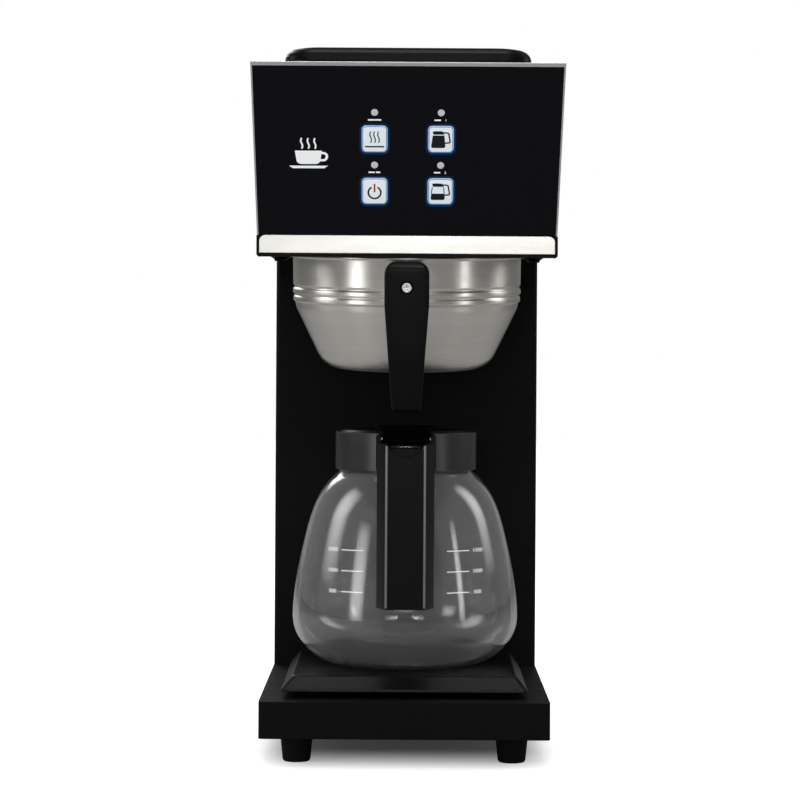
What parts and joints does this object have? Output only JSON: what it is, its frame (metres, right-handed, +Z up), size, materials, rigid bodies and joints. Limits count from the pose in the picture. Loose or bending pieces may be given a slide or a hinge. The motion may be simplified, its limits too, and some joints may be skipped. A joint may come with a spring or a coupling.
{
  "type": "commercial coffee brewer",
  "caption": "Pour-over filter coffee brewer with an overhanging key panel, pull-out steel basket, hotplate and glass carafe.",
  "frame": {"origin": "at floor level under the middle of the whole machine", "axes": "+Z up, the front with the key panel and the handles faces -Y, +X to the viewer's right"},
  "size_m": [0.207, 0.4124, 0.4904],
  "materials": {
    "powder_coat": "fine satin powder coat",
    "zinc_sheet": "zinc-plated sheet",
    "foot_rubber": "matt",
    "screw_steel": "bright plated",
    "hotplate_enamel": "semi-gloss enamel",
    "heater_sheath": "heat-tinted",
    "thermostat_brass": "plain",
    "frame_black": "satin",
    "brushed_trim": "fine horizontal brushing",
    "panel_black": "satin film",
    "lens_clear": "unlit lens",
    "circuit_board": "solder mask",
    "nylon": "natural",
    "switch_plastic": "plain",
    "tank_plastic": "translucent white",
    "probe_steel": "plain",
    "silicone": "translucent",
    "heater_aluminium": "extruded",
    "transformer_core": "taped",
    "relay_blue": "plain",
    "contact_brass": "plain",
    "cable_black": "plain",
    "key_white": "lit white with a blue edge",
    "basket_steel": "spun, brushed round the bowl",
    "handle_black": "satin moulded",
    "carafe_glass": "clear",
    "collar_black": "satin",
    "lid_black": "satin"
  },
  "bodies": {
    "machine": {"base_shell": "powder_coat", "base_bottom_plate": "zinc_sheet", "rubber_feet": "foot_rubber", "foot_screws": "screw_steel", "hotplate": "hotplate_enamel", "hotplate_posts": "powder_coat", "hotplate_screws": "screw_steel", "hotplate_element": "heater_sheath", "hotplate_thermostat": "thermostat_brass", "column_cover": "powder_coat", "column_rear_panel": "powder_coat", "rear_panel_screws": "screw_steel", "head_under_frame": "frame_black", "steel_strip": "brushed_trim", "head_shell": "brushed_trim", "control_panel": "panel_black", "indicator_lenses": "lens_clear", "control_board": "circuit_board", "board_standoffs": "nylon", "tact_switches": "switch_plastic", "basket_rail_left": "powder_coat", "basket_rail_right": "powder_coat", "rail_screws": "screw_steel", "water_reservoir": "tank_plastic", "level_probes": "probe_steel", "check_valve": "nylon", "inlet_hose": "silicone", "riser_hose": "silicone", "hose_clamps": "screw_steel", "flow_heater": "heater_aluminium", "heating_element": "heater_sheath", "heater_brackets": "zinc_sheet", "heater_thermostats": "thermostat_brass", "spray_pipe": "probe_steel", "spray_head": "tank_plastic", "power_board": "circuit_board", "transformer": "transformer_core", "power_relays": "relay_blue", "terminal_block": "nylon", "power_inlet": "switch_plastic", "inlet_pins": "contact_brass", "main_harness": "cable_black", "lid_hinge_bracket": "frame_black", "lid_hinge_pins": "screw_steel"},
    "key_warmer": {"key_warmer": "key_white"},
    "key_power": {"key_power": "key_white"},
    "key_brew_full": {"key_brew_full": "key_white"},
    "key_brew_half": {"key_brew_half": "key_white"},
    "basket": {"brew_basket": "basket_steel", "basket_bracket": "basket_steel", "basket_handle": "handle_black", "basket_screw": "screw_steel", "filter_wire": "probe_steel"},
    "carafe": {"carafe_glass": "carafe_glass", "carafe_collar": "collar_black", "carafe_handle": "handle_black", "carafe_hinge_pin": "screw_steel"},
    "carafe_lid": {"carafe_lid": "lid_black"},
    "top_lid": {"top_lid": "lid_black"}
  },
  "joints": [
    {"name": "key_warmer_press", "type": "slide", "parent": "machine", "child": "key_warmer", "axis": [0, 0.9123, 0.4095], "range_m": [0, 0.0006], "stiffness_N_per_m": 1500},
    {"name": "key_power_press", "type": "slide", "parent": "machine", "child": "key_power", "axis": [0, 0.9123, 0.4095], "range_m": [0, 0.0006], "stiffness_N_per_m": 1500},
    {"name": "key_brew_full_press", "type": "slide", "parent": "machine", "child": "key_brew_full", "axis": [0, 0.9123, 0.4095], "range_m": [0, 0.0006], "stiffness_N_per_m": 1500},
    {"name": "key_brew_half_press", "type": "slide", "parent": "machine", "child": "key_brew_half", "axis": [0, 0.9123, 0.4095], "range_m": [0, 0.0006], "stiffness_N_per_m": 1500},
    {"name": "basket_slide", "type": "slide", "parent": "machine", "child": "basket", "axis": [0, -0.9978, -0.0663], "range_m": [0, 0.19]},
    {"name": "carafe_slide", "type": "slide", "parent": "machine", "child": "carafe", "axis": [0, -1, 0], "range_m": [0, 0.36]},
    {"name": "carafe_lid_hinge", "type": "hinge", "parent": "carafe", "child": "carafe_lid", "pos_m": [0, -0.11725, 0.2192], "axis": [1, 0, 0], "range_deg": [0, 26]},
    {"name": "top_lid_hinge", "type": "hinge", "parent": "machine", "child": "top_lid", "pos_m": [0, 0.05975, 0.4774], "axis": [-1, 0, 0], "range_deg": [0, 95]}
  ]
}
